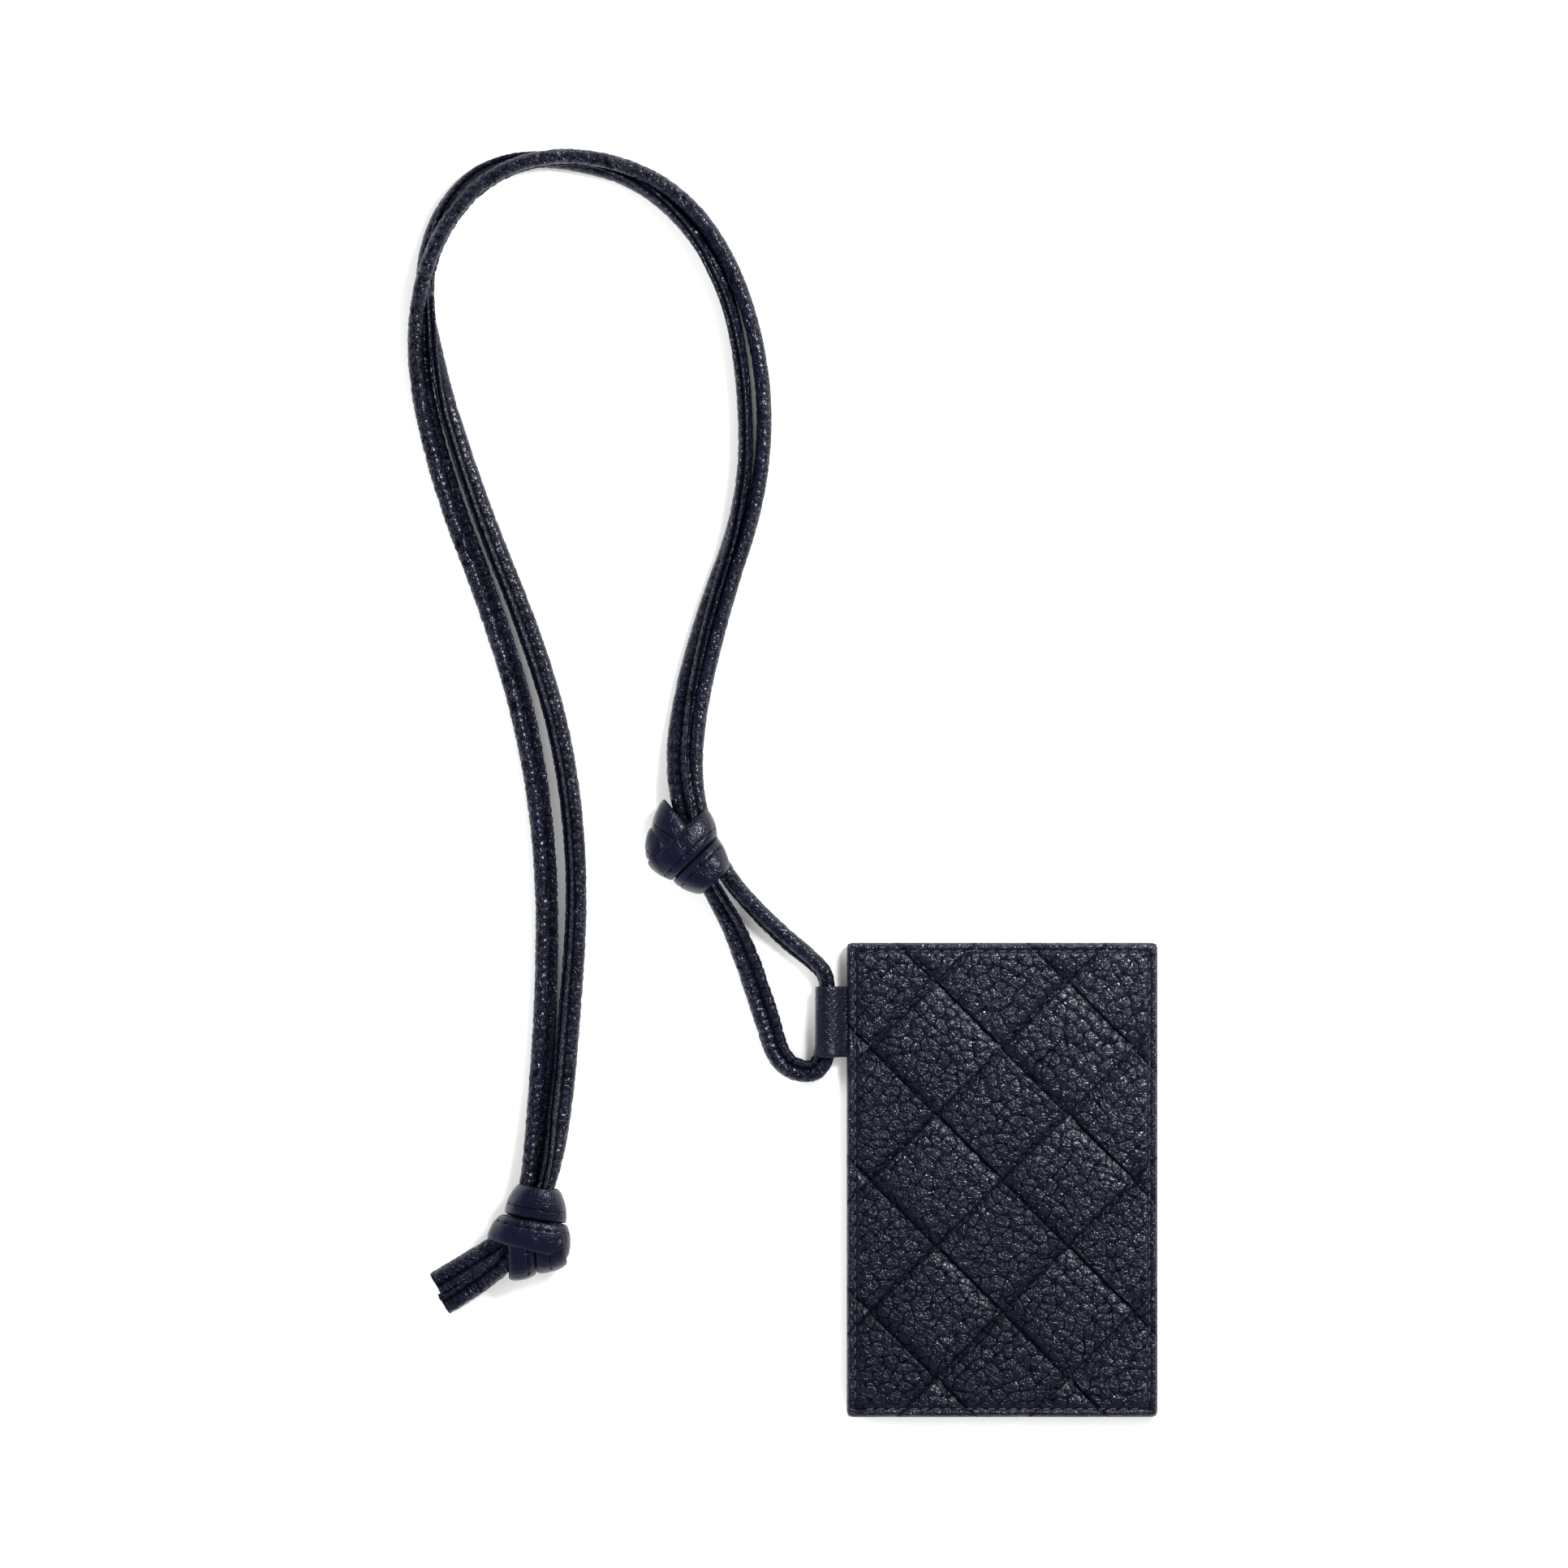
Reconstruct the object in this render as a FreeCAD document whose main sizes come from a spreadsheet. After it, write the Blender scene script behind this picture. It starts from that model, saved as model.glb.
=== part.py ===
import FreeCAD, Part
import math
import os
import re
import Sketcher
from FreeCAD import Placement, Rotation, Vector

# Neck pouch wallet: a flat leather card pouch with a front of wide woven strips, a leather tab
# sewn into its left seam, and a doubled leather cord that runs through the tab and is knotted
# twice. The pouch lies on its back. +Z is up, out of the woven front, and +Y points to the mouth.
# The origin is on the resting face, under the middle of the pouch and its tab together.

os.makedirs("parts", exist_ok=True)
doc = FreeCAD.newDocument("neck_pouch_wallet")

SIZES = {
    "pouch_width": 76.0,
    "pouch_length": 116.0,
    "pouch_corner": 1.4,
    "back_thick": 1.0,
    "lining_thick": 0.4,
    "pocket_gap": 1.8,
    "backer_thick": 0.3,
    "strip_thick": 0.75,
    "strip_pitch": 22.8,
    "strip_gap": 1.2,
    "welt_width": 3.6,
    "tab_reach": 7.8,
    "tab_length": 17.3,
    "tab_centre_y": 38.7,
    "tab_thick": 0.9,
    "tab_bore": 5.0,
    "tab_leg_depth": 6.0,
    "stitch_pitch": 2.7,
    "stitch_length": 1.9,
    "stitch_width": 0.5,
    "stitch_thick": 0.3,
    "stitch_inset": 2.0,
    "cord_diameter": 4.4,
    "knot_thick": 13.0,
    "knot_round": 4.5,
    "pouch_knot_width": 18.5,
    "pouch_knot_length": 21.5,
    "end_knot_width": 18.5,
    "end_knot_length": 23.0,
}

sheet = doc.addObject("Spreadsheet::Sheet", "sizes")
for row, (word, value) in enumerate(SIZES.items(), start=1):
    sheet.set("A%d" % row, word)
    sheet.set("B%d" % row, str(value))
    sheet.setAlias("B%d" % row, word)
doc.recompute()


def size(word):
    return float(getattr(sheet, word))


def bind(item, prop, text):
    """Bind a property to a formula written in the sheet's own words."""
    def cell(match):
        return "sizes." + match.group(0) if match.group(0) in SIZES else match.group(0)
    item.setExpression(prop, re.sub(r"[a-z]+(_[a-z]+)*", cell, text))


def place(item, x="0", y="0", z="0"):
    bind(item, "Placement.Base.x", x)
    bind(item, "Placement.Base.y", y)
    bind(item, "Placement.Base.z", z)


# Levels of the layers, from the table up.
BACK_LINING_Z = "back_thick"
POCKET_Z = "(back_thick + lining_thick)"
FRONT_LINING_Z = "(back_thick + lining_thick + pocket_gap)"
BACKER_Z = "(back_thick + 2 * lining_thick + pocket_gap)"

# The tab stands out to the left, so the pouch sits half the tab's reach to the right.
POUCH_X = "(tab_reach / 2)"
POUCH_LEFT = "(tab_reach / 2 - pouch_width / 2)"
TAB_RADIUS = "(tab_bore / 2 + tab_thick)"
TAB_AXIS_X = "(tab_reach / 2 - pouch_width / 2 - tab_reach + tab_bore / 2 + tab_thick)"
TAB_LOW_Y = "(tab_centre_y - tab_length / 2)"
TAB_HIGH_Y = "(tab_centre_y + tab_length / 2)"


# ---------------------------------------------------------------- flat layers and blocks

def rectangle_sketch(body, width, length):
    """A rectangle about the body's own origin, on its XY plane."""
    sketch = body.newObject("Sketcher::SketchObject", body.Name + "_outline")
    plane = next(item for item in body.Origin.OriginFeatures if item.Role == "XY_Plane")
    sketch.AttachmentSupport = (plane, [""])
    sketch.MapMode = "FlatFace"
    corners = [Vector(-9, -9, 0), Vector(9, -9, 0), Vector(9, 9, 0), Vector(-9, 9, 0)]
    for start, end in zip(corners, corners[1:] + corners[:1]):
        sketch.addGeometry(Part.LineSegment(start, end), False)
    for side in range(4):
        sketch.addConstraint(Sketcher.Constraint("Coincident", side, 2, (side + 1) % 4, 1))
        direction = "Vertical" if side % 2 else "Horizontal"
        sketch.addConstraint(Sketcher.Constraint(direction, side))
    sketch.addConstraint(Sketcher.Constraint("Symmetric", 0, 1, 1, 2, -1, 1))
    across = sketch.addConstraint(Sketcher.Constraint("DistanceX", 0, 1, 0, 2, 18.0))
    along = sketch.addConstraint(Sketcher.Constraint("DistanceY", 1, 1, 1, 2, 18.0))
    sketch.renameConstraint(across, "across")
    sketch.renameConstraint(along, "along")
    bind(sketch, "Constraints.across", width)
    bind(sketch, "Constraints.along", length)
    return sketch


def is_upright(edge):
    return abs(edge.tangentAt(edge.FirstParameter).z) > 0.99


def slab(label, width, length, height, rounding=None, upright_only=True):
    """A padded rectangle, with its upright edges, or all of its edges, rounded."""
    body = doc.addObject("PartDesign::Body", label)
    body.Label = label
    sketch = rectangle_sketch(body, width, length)
    pad = body.newObject("PartDesign::Pad", label + "_pad")
    pad.Profile = sketch
    bind(pad, "Length", height)
    doc.recompute()
    if rounding:
        edges = enumerate(pad.Shape.Edges, start=1)
        names = ["Edge%d" % n for n, edge in edges if is_upright(edge) or not upright_only]
        fillet = body.newObject("PartDesign::Fillet", label + "_rounding")
        fillet.Base = (pad, names)
        bind(fillet, "Radius", rounding)
    return body


def make_layers():
    """Back leather, its lining, the front lining and the cloth that the strips are glued to."""
    layers = [
        ("back_panel", "back_thick", "0"),
        ("back_lining", "lining_thick", BACK_LINING_Z),
        ("front_lining", "lining_thick", FRONT_LINING_Z),
        ("front_backer", "backer_thick", BACKER_Z),
    ]
    made = []
    for label, thick, level in layers:
        layer = slab(label, "pouch_width", "pouch_length", thick, "pouch_corner")
        place(layer, POUCH_X, "0", level)
        made.append(layer)
    return made


def make_welts():
    """Leather fillers in the closed seams; the tab's legs fill the gap in the left one."""
    half_length = "pouch_length / 2"
    side_length = "(pouch_length - welt_width)"
    low_length = "(tab_centre_y - tab_length / 2 + pouch_length / 2 - welt_width)"
    high_length = "(pouch_length / 2 - tab_centre_y - tab_length / 2)"
    left_x = POUCH_LEFT + " + welt_width / 2"
    right_x = "tab_reach / 2 + pouch_width / 2 - welt_width / 2"
    welts = [
        ("welt_bottom", "pouch_width", "welt_width", POUCH_X, "welt_width / 2 - " + half_length),
        ("welt_right", "welt_width", side_length, right_x, "welt_width / 2"),
        ("welt_left_lower", "welt_width", low_length, left_x,
         TAB_LOW_Y + " - " + low_length + " / 2"),
        ("welt_left_upper", "welt_width", high_length, left_x,
         TAB_HIGH_Y + " + " + high_length + " / 2"),
    ]
    made = []
    for label, width, length, x, y in welts:
        welt = slab(label, width, length, "pocket_gap", "pouch_corner")
        place(welt, x, y, POCKET_Z)
        made.append(welt)
    return made


def make_tab():
    """A leather strap folded round the cord, with both legs sewn into the left seam."""
    tube = doc.addObject("Part::Cylinder", "tab_tube")
    legs = doc.addObject("Part::Box", "tab_legs")
    bore = doc.addObject("Part::Cylinder", "tab_hole")
    bind(tube, "Radius", TAB_RADIUS)
    bind(bore, "Radius", "tab_bore / 2")
    for item in (tube, bore):
        bind(item, "Height", "tab_length")
        item.Placement = Placement(Vector(), Rotation(Vector(1, 0, 0), -90))
        place(item, TAB_AXIS_X, TAB_LOW_Y, TAB_RADIUS)
    bind(legs, "Length", "tab_reach - tab_bore / 2 - tab_thick + tab_leg_depth")
    bind(legs, "Width", "tab_length")
    bind(legs, "Height", "pocket_gap")
    place(legs, TAB_AXIS_X, TAB_LOW_Y, POCKET_Z)
    strap = doc.addObject("Part::Fuse", "tab_strap")
    strap.Base = tube
    strap.Tool = legs
    tab = doc.addObject("Part::Cut", "cord_tab")
    tab.Base = strap
    tab.Tool = bore
    tab.Label = "cord_tab"
    return tab


# ---------------------------------------------------------------- woven front

# Squares of the weave along an endless strip, and the strips side by side, from the middle.
CELLS = range(-4, 4)
ROWS = range(-3, 3)
WEAVE_ANGLE = 45.0


def strip_band(row, angle):
    """One endless strip of the plain weave, over and under by turns, before it is trimmed."""
    pitch = size("strip_pitch")
    thick = size("strip_thick")
    half_gap = size("strip_gap") / 2
    lower_side = []
    for cell in CELLS:
        level = 0 if (cell + row) % 2 else thick
        lower_side.append((cell * pitch + half_gap, level))
        lower_side.append(((cell + 1) * pitch - half_gap, level))
    upper_side = [(along, level + thick) for along, level in reversed(lower_side)]
    edge_y = row * pitch + half_gap
    outline = [Vector(along, edge_y, level) for along, level in lower_side + upper_side]
    face = Part.Face(Part.makePolygon(outline + outline[:1]))
    band = face.extrude(Vector(0, pitch - 2 * half_gap, 0))
    band.rotate(Vector(), Vector(0, 0, 1), angle)
    return band


def panel_block():
    """The pouch's outline, as tall as the two levels of the weave."""
    width = size("pouch_width")
    length = size("pouch_length")
    corner = Vector(-width / 2, -length / 2, 0)
    block = Part.makeBox(width, length, 2 * size("strip_thick"), corner)
    uprights = [edge for edge in block.Edges if is_upright(edge)]
    return block.makeFillet(size("pouch_corner"), uprights)


def weave_base():
    level = size("back_thick") + 2 * size("lining_thick") + size("pocket_gap")
    return Vector(size("tab_reach") / 2, 0, level + size("backer_thick"))


def make_weave():
    """Six strips that fall to the right and six that rise to the right, over and under."""
    made = []
    for name, angle in (("falling", -WEAVE_ANGLE), ("rising", WEAVE_ANGLE)):
        for number, row in enumerate(ROWS, start=1):
            label = "%s_strip_%d" % (name, number)
            strip = doc.addObject("Part::Feature", label)
            strip.Shape = strip_band(row, angle).common(panel_block()).Solids[0]
            strip.Placement = Placement(weave_base(), Rotation())
            strip.Label = label
            made.append(strip)
    return made


# ---------------------------------------------------------------- stitching

def stitch_row(start, end):
    """Stitches centred on the line from start to end, each a short rounded block."""
    run = end - start
    pitch = size("stitch_pitch")
    long = size("stitch_length")
    wide = size("stitch_width")
    count = int(run.Length / pitch)
    first = (run.Length - (count - 1) * pitch) / 2
    turn = math.degrees(math.atan2(run.y, run.x))
    stitches = []
    for number in range(count):
        stitch = Part.makeBox(long, wide, size("stitch_thick"), Vector(-long / 2, -wide / 2, 0))
        uprights = [edge for edge in stitch.Edges if is_upright(edge)]
        stitch = stitch.makeFillet(wide * 0.45, uprights)
        stitch.rotate(Vector(), Vector(0, 0, 1), turn)
        stitch.translate(start + run * ((first + number * pitch) / run.Length))
        stitches.append(stitch)
    return Part.makeCompound(stitches)


def make_stitching():
    """One row along the mouth's hem and one through each closed seam, all the same thread."""
    inset = size("stitch_inset")
    x = size("pouch_width") / 2 - inset
    y = size("pouch_length") / 2 - inset
    clear = size("stitch_pitch") / 2
    rows = {
        "thread_mouth": (Vector(clear - x, y, 0), Vector(x - clear, y, 0)),
        "thread_bottom": (Vector(clear - x, -y, 0), Vector(x - clear, -y, 0)),
        "thread_left": (Vector(-x, clear - y, 0), Vector(-x, y - clear, 0)),
        "thread_right": (Vector(x, clear - y, 0), Vector(x, y - clear, 0)),
    }
    made = []
    for label, (start, end) in rows.items():
        row = doc.addObject("Part::Feature", label)
        row.Shape = stitch_row(start, end)
        row.Placement = Placement(weave_base() + Vector(0, 0, 2 * size("strip_thick")), Rotation())
        row.Label = label
        made.append(row)
    return made


# ---------------------------------------------------------------- cord

# Routes of the cord's free stretches. Each starts at the tab or in a knot, and the outer strand
# lies over the inner one round the arch.
TAB_TOP = (-38.5, 46.0, 3.4)
TAB_FOOT = (-38.5, 31.4, 3.4)
LOOP_UPPER = [
    TAB_TOP, (-38.5, 51.5, 3.4), (-43.0, 56.5, 2.6), (-50.0, 61.0, 2.2), (-58.0, 67.5, 3.0),
    (-66.5, 77.5, 6.5),
]
LOOP_LOWER = [
    TAB_FOOT, (-38.5, 25.8, 3.4), (-41.5, 21.7, 2.6), (-46.5, 21.0, 2.2), (-51.0, 25.5, 2.2),
    (-53.5, 34.0, 2.2), (-56.5, 47.0, 2.2), (-61.0, 61.0, 3.0), (-70.5, 73.0, 6.5),
]
STRAND_OUTER = [
    (-71.0, 92.0, 6.5), (-71.0, 112.0, 2.4), (-64.0, 141.0, 2.2), (-54.0, 170.0, 2.2),
    (-53.5, 201.5, 2.2), (-61.0, 228.0, 2.6), (-78.0, 246.0, 5.0), (-101.5, 253.5, 7.8),
    (-123.5, 248.0, 7.8), (-137.5, 229.0, 7.8), (-141.0, 203.0, 7.8), (-134.5, 171.5, 3.4),
    (-122.5, 140.0, 2.2), (-113.0, 112.0, 2.2), (-107.5, 80.0, 2.2), (-107.0, 46.5, 2.2),
    (-109.5, 14.5, 2.6), (-112.0, -3.0, 6.5),
]
STRAND_INNER = [
    (-76.0, 92.0, 6.5), (-77.0, 109.0, 2.4), (-71.5, 136.0, 2.2), (-60.5, 166.5, 2.2),
    (-59.0, 199.5, 2.2), (-66.0, 223.5, 2.2), (-82.5, 242.5, 2.2), (-102.0, 251.0, 2.2),
    (-122.5, 251.0, 2.2), (-137.5, 235.0, 2.2), (-141.5, 213.5, 2.2), (-132.0, 189.0, 2.2),
    (-124.0, 162.0, 2.2), (-113.5, 132.0, 2.2), (-105.5, 104.0, 2.2), (-101.0, 72.0, 2.2),
    (-101.0, 40.5, 2.2), (-104.5, 14.5, 2.6), (-107.0, -3.0, 6.5),
]
TAIL_UPPER = [(-115.5, -16.0, 6.5), (-125.0, -20.5, 3.2), (-134.8, -25.3, 2.2)]
TAIL_LOWER = [(-114.5, -21.5, 6.5), (-123.2, -25.6, 3.2), (-132.4, -30.4, 2.2)]

# Share of the shorter run that an arc takes up, each side of its point.
ARC_SHARE = 0.45


def cord_path(route):
    """Straight runs joined by tangent arcs; returns the wire and the arcs' radii."""
    points = [Vector(*point) for point in route]
    edges = []
    radii = []
    last = points[0]
    for before, point, after in zip(points, points[1:], points[2:]):
        inward = (point - before).normalize()
        outward = (after - point).normalize()
        half_turn = inward.getAngle(outward) / 2
        cut = ARC_SHARE * min((point - before).Length, (after - point).Length)
        radius = cut / math.tan(half_turn)
        start = point - inward * cut
        end = point + outward * cut
        middle = point + (outward - inward).normalize() * (radius / math.cos(half_turn) - radius)
        edges.append(Part.LineSegment(last, start).toShape())
        edges.append(Part.Arc(start, middle, end).toShape())
        radii.append(radius)
        last = end
    edges.append(Part.LineSegment(last, points[-1]).toShape())
    return Part.Wire(edges), radii


def cord_tube(label, route):
    """A round cord along the route."""
    path, radii = cord_path(route)
    start = Vector(*route[0])
    circle = Part.makeCircle(size("cord_diameter") / 2, start, Vector(*route[1]) - start)
    tube = doc.addObject("Part::Feature", label)
    tube.Shape = path.makePipeShell([Part.Wire([circle])], True, True)
    tube.Label = label
    section = math.pi * size("cord_diameter") ** 2 / 4
    ratio = tube.Shape.Volume / (section * path.Length)
    rounded = " ".join("%.1f" % radius for radius in radii)
    print("%s: length %.1f, volume ratio %.4f, radii %s" % (label, path.Length, ratio, rounded))
    return tube


def make_cord():
    """The cord: its stretch in the tab, the small loop's legs, the two strands, the tails."""
    inside = doc.addObject("Part::Cylinder", "cord_in_tab")
    inside.Label = "cord_in_tab"
    bind(inside, "Radius", "cord_diameter / 2")
    inside.Height = TAB_TOP[1] - TAB_FOOT[1]
    inside.Placement = Placement(Vector(*TAB_FOOT), Rotation(Vector(1, 0, 0), -90))
    routes = {
        "loop_upper": LOOP_UPPER,
        "loop_lower": LOOP_LOWER,
        "strand_outer": STRAND_OUTER,
        "strand_inner": STRAND_INNER,
        "tail_upper": TAIL_UPPER,
        "tail_lower": TAIL_LOWER,
    }
    return [inside] + [cord_tube(label, route) for label, route in routes.items()]


def make_knots():
    """The two doubled overhand knots, each as the solid block of its outer shape."""
    made = []
    for label, x, y, turn in (("pouch_knot", -73.3, 82.0, 21.0), ("end_knot", -111.3, -12.6, -3.0)):
        knot = slab(label, label + "_width", label + "_length", "knot_thick", "knot_round", False)
        knot.Placement = Placement(Vector(x, y, 0), Rotation(Vector(0, 0, 1), turn))
        made.append(knot)
    return made


# ---------------------------------------------------------------- check and write

subparts = make_layers() + make_welts() + [make_tab()] + make_weave() + make_stitching()
subparts += make_cord() + make_knots()
doc.recompute()

for item in doc.Objects:
    if "Invalid" in item.State or "Error" in item.State:
        raise RuntimeError("%s did not recompute: %s" % (item.Label, item.State))
for item in subparts:
    if item.Shape.isNull() or not item.Shape.isValid():
        raise RuntimeError("%s has no valid shape" % item.Label)
for item in subparts:
    item.Shape.exportStep("parts/%s.step" % item.Label)
print("%d sub-parts written" % len(subparts))
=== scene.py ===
import math

import bpy
import numpy as np
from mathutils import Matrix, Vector


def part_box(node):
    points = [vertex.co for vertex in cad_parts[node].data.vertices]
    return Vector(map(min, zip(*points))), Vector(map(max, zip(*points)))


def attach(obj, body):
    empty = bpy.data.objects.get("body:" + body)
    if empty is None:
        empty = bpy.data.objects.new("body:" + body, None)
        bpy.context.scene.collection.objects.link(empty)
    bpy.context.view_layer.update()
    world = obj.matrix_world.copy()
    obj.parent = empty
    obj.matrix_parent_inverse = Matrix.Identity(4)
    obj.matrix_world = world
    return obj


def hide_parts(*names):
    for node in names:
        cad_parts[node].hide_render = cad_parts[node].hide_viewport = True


# Looks of the neck pouch wallet: a flat pouch with a woven pebbled leather front, a leather tab
# and a doubled, sewn leather cord with two knots. Everything is in metres, in the CAD frame.

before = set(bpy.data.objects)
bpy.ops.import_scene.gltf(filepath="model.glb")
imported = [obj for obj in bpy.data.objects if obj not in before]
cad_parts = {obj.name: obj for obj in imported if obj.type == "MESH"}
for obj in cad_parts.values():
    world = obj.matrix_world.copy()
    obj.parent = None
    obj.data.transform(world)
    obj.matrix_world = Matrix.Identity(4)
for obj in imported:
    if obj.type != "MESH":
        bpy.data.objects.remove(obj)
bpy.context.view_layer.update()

MM = 0.001
UP = np.array([0.0, 0.0, 1.0])


# ---------------------------------------------------------------- small helpers

def smooth_step(value, low, high):
    """0 below low, 1 above high, and a smooth rise between them."""
    share = np.clip((value - low) / (high - low), 0.0, 1.0)
    return share * share * (3.0 - 2.0 * share)


def unit(vectors):
    return vectors / np.linalg.norm(vectors, axis=-1, keepdims=True)


def low_high(node):
    low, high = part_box(node)
    return np.array(low), np.array(high)


def finish_piece(name, points, faces, material, body, nodes=(), crease=None, spoke=None):
    """A smooth mesh piece with its crease values, which rides on a body for its CAD nodes."""
    mesh = bpy.data.meshes.new(name)
    mesh.from_pydata(np.asarray(points).tolist(), [], faces)
    mesh.update()
    mesh.polygons.foreach_set("use_smooth", np.ones(len(mesh.polygons), dtype=bool))
    values = np.zeros(len(mesh.vertices)) if crease is None else np.asarray(crease)
    layer = mesh.attributes.new("crease", "FLOAT", "POINT")
    layer.data.foreach_set("value", values.astype(np.float32))
    ways = np.zeros((len(mesh.vertices), 3)) if spoke is None else np.asarray(spoke)
    layer = mesh.attributes.new("spoke", "FLOAT_VECTOR", "POINT")
    layer.data.foreach_set("vector", ways.astype(np.float32).reshape(-1))
    mesh.materials.append(material)
    piece = bpy.data.objects.new(name, mesh)
    bpy.context.scene.collection.objects.link(piece)
    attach(piece, body)
    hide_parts(*nodes)
    return piece


# ---------------------------------------------------------------- leather grain

def pebbles(across, along, cell, seed):
    """Jittered cells: the distance from the nearest crease, from the cell's middle, and the way
    to that middle with a number of the cell's own."""
    rng = np.random.default_rng(seed)
    span = 256
    jitter = rng.uniform(0.10, 0.90, (span, span, 2))
    u = across / cell
    v = along / cell
    column = np.floor(u).astype(int)
    row = np.floor(v).astype(int)
    nearest = np.full(u.shape, 9.0)
    second = np.full(u.shape, 9.0)
    spoke = np.zeros(u.shape + (3,))
    for step_u in (-1, 0, 1):
        for step_v in (-1, 0, 1):
            spot = jitter[(column + step_u) % span, (row + step_v) % span]
            gap_u = column + step_u + spot[..., 0] - u
            gap_v = row + step_v + spot[..., 1] - v
            far = np.hypot(gap_u, gap_v)
            second = np.minimum(second, np.maximum(nearest, far))
            way = np.stack([gap_u, gap_v, 6.0 * spot[..., 0]], axis=-1)
            spoke = np.where((far < nearest)[..., None], way, spoke)
            nearest = np.minimum(nearest, far)
    return second - nearest, nearest, spoke


def grain_of(across, along, seed):
    """Pebbled leather: big domed pebbles with fine wrinkles on them, and the painted shade in the gaps
    between them.
    """
    warp = 0.6 * MM * waves(along, seed + 3, (0.0071, 0.0047))
    gap, middle, spoke = pebbles(across + warp, along * 1.05, 3.1 * MM, seed)
    small_gap, _, _ = pebbles(across, along + warp, 1.05 * MM, seed + 7)
    cobble = 1.0 - np.exp(-gap / 0.09)
    dome = np.clip(1.0 - (middle / 0.80) ** 2, 0.0, 1.0)
    fine = 1.0 - np.exp(-small_gap / 0.12)
    height = 0.34 * cobble + 0.54 * dome + 0.12 * fine
    # Painted shade: dark in the gaps between the big pebbles and, more weakly, in the fine wrinkles.
    gap_shade = 0.9 * np.clip(1.2 - gap / 0.12, 0.0, 1.0)
    return height, np.maximum(gap_shade, 0.35 * (1.0 - fine)), spoke


def waves(values, seed, lengths):
    """A smooth irregular wave along a line, about -1 to 1."""
    rng = np.random.default_rng(seed)
    total = np.zeros_like(values)
    for length in lengths:
        phase = rng.uniform(0, 2 * math.pi)
        total += np.sin(2 * math.pi * values / length + phase)
    return total / math.sqrt(len(lengths))


# ---------------------------------------------------------------- materials

def node_tree(name):
    material = bpy.data.materials.new(name)
    material.use_nodes = True
    return material, material.node_tree.nodes, material.node_tree.links


def linked(links, value, socket):
    """Give a socket its value: a number or a colour, or another node's output."""
    if isinstance(value, bpy.types.NodeSocket):
        links.new(value, socket)
    else:
        socket.default_value = value


def worked_out(tree, operation, *values):
    """A sum on numbers and outputs of other nodes."""
    nodes, links = tree
    node = nodes.new("ShaderNodeMath")
    node.operation = operation
    for value, socket in zip(values, node.inputs):
        linked(links, value, socket)
    return node.outputs[0]


def noise(tree, place, scale, detail=2.0):
    """A soft random pattern."""
    nodes, links = tree
    node = nodes.new("ShaderNodeTexNoise")
    node.inputs["Scale"].default_value = scale
    node.inputs["Detail"].default_value = detail
    links.new(place, node.inputs["Vector"])
    return node


def ranged(tree, value, **ends):
    """The value moved from one range to another; an end that isn't given stays 0 or 1."""
    nodes, links = tree
    node = nodes.new("ShaderNodeMapRange")
    for word, number in ends.items():
        node.inputs[word.replace("_", " ").title()].default_value = number
    links.new(value, node.inputs["Value"])
    return node.outputs["Result"]


def two_colours(tree, value, low, high, low_at=0.0, high_at=1.0):
    """A smooth change from one colour to another."""
    nodes, links = tree
    node = nodes.new("ShaderNodeValToRGB")
    first, last = node.color_ramp.elements
    first.position = low_at
    first.color = (*low, 1.0)
    last.position = high_at
    last.color = (*high, 1.0)
    links.new(value, node.inputs["Fac"])
    return node.outputs["Color"]


def bump(tree, height, strength, distance, under=None):
    """Relief by bump, on top of another bump where one is given."""
    nodes, links = tree
    node = nodes.new("ShaderNodeBump")
    node.inputs["Strength"].default_value = strength
    node.inputs["Distance"].default_value = distance
    links.new(height, node.inputs["Height"])
    if under is not None:
        links.new(under, node.inputs["Normal"])
    return node.outputs["Normal"]


def wrinkle_lines(tree, place, bend, size):
    """A net of thin bent wrinkles: 0 in the lines and 1 between them."""
    nodes, links = tree
    shifted = nodes.new("ShaderNodeVectorMath")
    shifted.operation = "MULTIPLY_ADD"
    shifted.inputs[1].default_value = (0.0008, 0.0008, 0.0008)
    links.new(bend.outputs["Color"], shifted.inputs[0])
    links.new(place, shifted.inputs[2])
    wrinkle = nodes.new("ShaderNodeTexVoronoi")
    wrinkle.feature = "DISTANCE_TO_EDGE"
    wrinkle.inputs["Scale"].default_value = 1.0 / size
    links.new(shifted.outputs[0], wrinkle.inputs["Vector"])
    return ranged(tree, wrinkle.outputs["Distance"], from_max=0.12)


def spoke_waves(tree, bend):
    """Fine wrinkles that run out from the middle of each pebble, stronger towards its rim."""
    nodes, links = tree
    spoke = nodes.new("ShaderNodeAttribute")
    spoke.attribute_name = "spoke"
    parts = nodes.new("ShaderNodeSeparateXYZ")
    links.new(spoke.outputs["Vector"], parts.inputs[0])
    round_about = worked_out(tree, "ARCTAN2", parts.outputs["X"], parts.outputs["Y"])
    stray = worked_out(tree, "MULTIPLY_ADD", bend.outputs["Fac"], 9.0, parts.outputs["Z"])
    ray = worked_out(tree, "SINE", worked_out(tree, "MULTIPLY_ADD", round_about, 15.0, stray))
    flat = nodes.new("ShaderNodeCombineXYZ")
    links.new(parts.outputs["X"], flat.inputs["X"])
    links.new(parts.outputs["Y"], flat.inputs["Y"])
    reach = nodes.new("ShaderNodeVectorMath")
    reach.operation = "LENGTH"
    links.new(flat.outputs[0], reach.inputs[0])
    return worked_out(tree, "MULTIPLY", ray, reach.outputs["Value"])


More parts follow.
